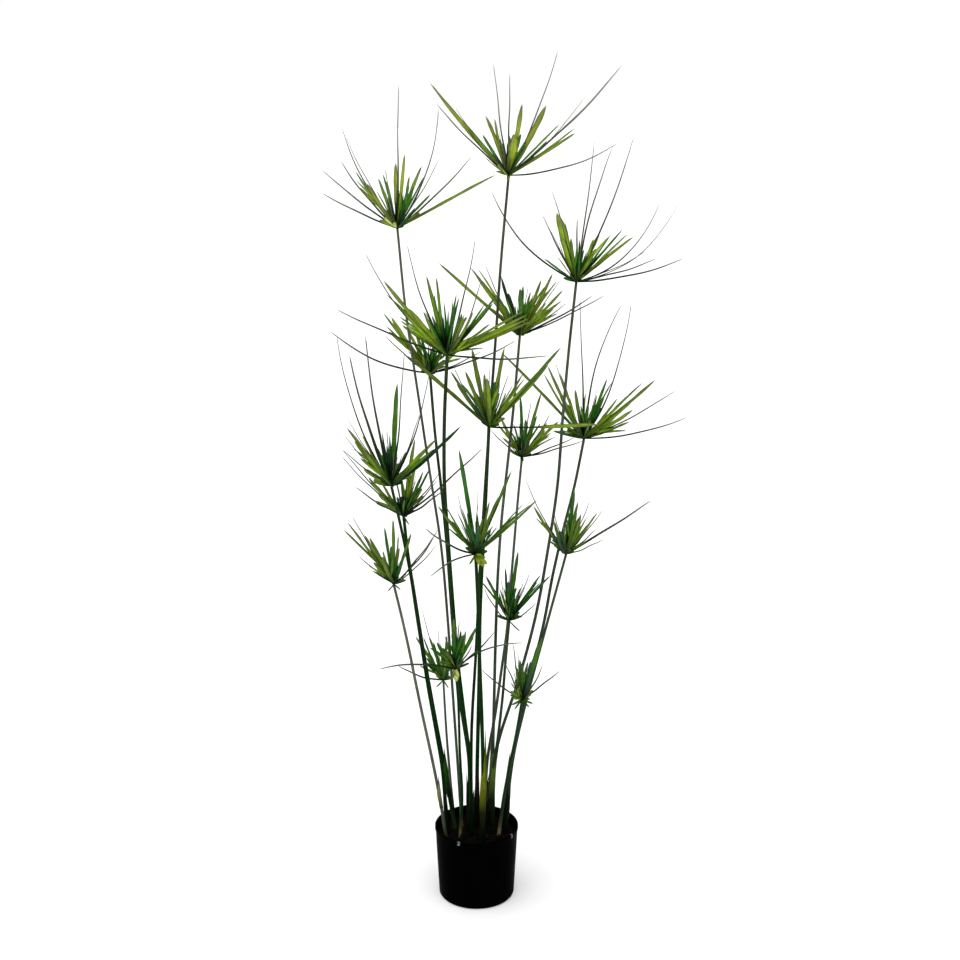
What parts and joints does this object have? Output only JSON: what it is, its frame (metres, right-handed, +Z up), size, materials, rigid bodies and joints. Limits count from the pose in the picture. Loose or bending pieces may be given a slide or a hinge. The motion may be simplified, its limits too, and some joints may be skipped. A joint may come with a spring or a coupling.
{
  "type": "potted umbrella sedge",
  "caption": "Tall umbrella sedge in a small round black pot: slender bare stems, each topped by one spreading whorl of narrow grass-like bracts.",
  "frame": {"origin": "middle of the pot's flat foot, on the surface that it stands on", "axes": "+Z up along the pot's axis, -Y towards the pictured front, +X to the right of that front"},
  "size_m": [0.4969, 0.5446, 1.195],
  "materials": {
    "pot_black": "black moulded nursery pot, low sheen",
    "soil_brown": "dark damp potting soil, crumbly",
    "stem_green": "living stem, ribbed, satin green, brown to pale at the foot",
    "bract_green": "living grass-like blades, olive to lime green, satin"
  },
  "bodies": {
    "root": {"pot": "pot_black", "soil": "soil_brown", "stem_01": "stem_green", "stem_02": "stem_green", "stem_03": "stem_green", "stem_04": "stem_green", "stem_05": "stem_green", "stem_06": "stem_green", "stem_07": "stem_green", "stem_08": "stem_green", "stem_09": "stem_green", "stem_10": "stem_green", "stem_11": "stem_green", "stem_12": "stem_green", "stem_13": "stem_green", "stem_14": "stem_green", "stem_15": "stem_green", "stem_16": "stem_green", "stem_17": "stem_green", "stem_18": "stem_green", "umbel_01": "bract_green", "umbel_02": "bract_green", "umbel_03": "bract_green", "umbel_04": "bract_green", "umbel_05": "bract_green", "umbel_06": "bract_green", "umbel_07": "bract_green", "umbel_08": "bract_green", "umbel_09": "bract_green", "umbel_10": "bract_green", "umbel_11": "bract_green", "umbel_12": "bract_green", "umbel_13": "bract_green", "umbel_14": "bract_green", "umbel_15": "bract_green", "umbel_16": "bract_green", "umbel_17": "bract_green", "umbel_18": "bract_green"}
  },
  "joints": []
}
